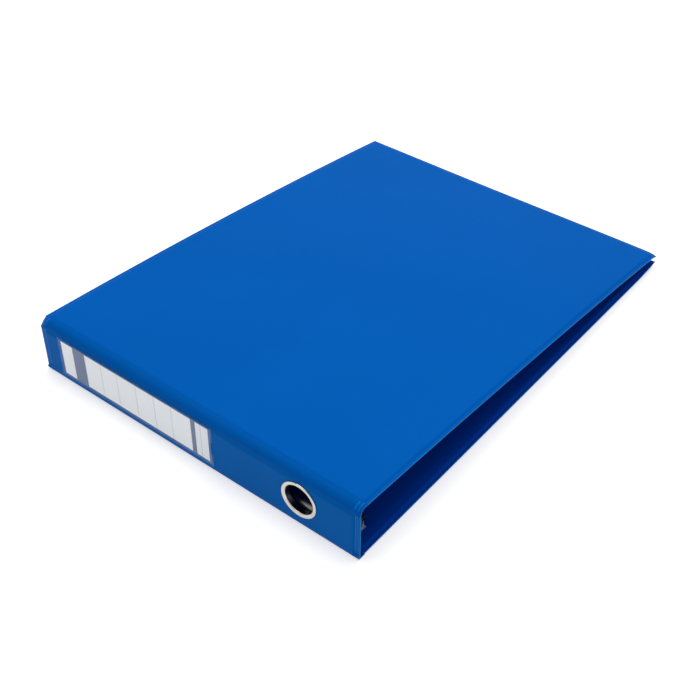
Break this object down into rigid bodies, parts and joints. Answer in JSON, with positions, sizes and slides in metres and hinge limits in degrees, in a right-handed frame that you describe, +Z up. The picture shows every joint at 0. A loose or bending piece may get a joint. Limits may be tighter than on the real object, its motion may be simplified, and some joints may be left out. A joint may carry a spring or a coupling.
{
  "type": "ring binder file",
  "caption": "Large landscape vinyl file with stiff hinged covers, a spine with a finger ring and label pocket, and a lever-opened ring mechanism that holds punched sheets.",
  "frame": {"origin": "middle of the foot of the closed file, on the surface it lies on", "axes": "+X along the spine towards the finger ring, +Y from the spine to the fore-edge, +Z up out of the front cover"},
  "size_m": [0.318, 0.436, 0.0504],
  "materials": {
    "outer_vinyl": "smooth satin vinyl",
    "lining_vinyl": "smooth satin vinyl",
    "hinge_vinyl": "flexible welded vinyl",
    "greyboard": "pressed greyboard",
    "nickel_steel": "bright nickel plate",
    "spring_steel": "zinc plated",
    "black_steel": "black plated levers",
    "label_card": "smooth printed card",
    "clear_film": "clear film"
  },
  "bodies": {
    "back_cover": {"back_cover_skin": "outer_vinyl", "back_cover_board": "greyboard", "back_cover_lining": "lining_vinyl", "lower_hinge_strip": "hinge_vinyl", "ring_rail": "nickel_steel", "lever_pin_foot": "spring_steel", "lever_pin_head": "spring_steel", "rail_rivet_foot": "nickel_steel", "rail_rivet_head": "nickel_steel"},
    "spine": {"spine_skin": "outer_vinyl", "spine_board": "greyboard", "spine_lining": "lining_vinyl", "finger_ring": "nickel_steel", "finger_ring_washer": "nickel_steel", "label_pocket_film": "clear_film", "upper_hinge_strip": "hinge_vinyl"},
    "label": {"label_card": "label_card"},
    "front_cover": {"front_cover_skin": "outer_vinyl", "front_cover_board": "greyboard", "front_cover_lining": "lining_vinyl"},
    "spine_side_rings": {"ring_leaf_spine_side": "spring_steel", "ring_1_spine_half": "nickel_steel", "ring_2_spine_half": "nickel_steel", "ring_3_spine_half": "nickel_steel", "ring_4_spine_half": "nickel_steel"},
    "fore_side_rings": {"ring_leaf_fore_side": "spring_steel", "ring_1_fore_half": "nickel_steel", "ring_2_fore_half": "nickel_steel", "ring_3_fore_half": "nickel_steel", "ring_4_fore_half": "nickel_steel"},
    "lever_foot": {"opening_lever_foot": "black_steel"},
    "lever_head": {"opening_lever_head": "black_steel"}
  },
  "joints": [
    {"name": "spine_hinge", "type": "hinge", "parent": "back_cover", "child": "spine", "pos_m": [0, -0.21667, 0.00133], "axis": [1, 0, 0], "range_deg": [0, 90], "deforming": ["lower_hinge_strip"]},
    {"name": "cover_hinge", "type": "hinge", "parent": "spine", "child": "front_cover", "pos_m": [0, -0.21429, 0.04797], "axis": [1, 0, 0], "range_deg": [0, 93], "deforming": ["upper_hinge_strip"]},
    {"name": "label_slide", "type": "slide", "parent": "spine", "child": "label", "axis": [1, 0, 0], "range_m": [0, 0.06]},
    {"name": "ring_open_spine_side", "type": "hinge", "parent": "back_cover", "child": "spine_side_rings", "pos_m": [0, -0.2067, 0.0051], "axis": [1, 0, 0], "range_deg": [0, 13]},
    {"name": "ring_open_fore_side", "type": "hinge", "parent": "back_cover", "child": "fore_side_rings", "pos_m": [0, -0.1933, 0.0051], "axis": [1, 0, 0], "range_deg": [-13, 0]},
    {"name": "lever_tilt_foot", "type": "hinge", "parent": "back_cover", "child": "lever_foot", "pos_m": [-0.142, -0.2, 0.0066], "axis": [0, -1, 0], "range_deg": [0, 28]},
    {"name": "lever_tilt_head", "type": "hinge", "parent": "back_cover", "child": "lever_head", "pos_m": [0.142, -0.2, 0.0066], "axis": [0, 1, 0], "range_deg": [0, 28]}
  ],
  "couplings": [
    {"joint": "ring_open_fore_side", "follows": "ring_open_spine_side", "ratio": -1},
    {"joint": "lever_tilt_foot", "follows": "ring_open_spine_side", "ratio": 2.1538},
    {"joint": "lever_tilt_head", "follows": "ring_open_spine_side", "ratio": 2.1538}
  ]
}
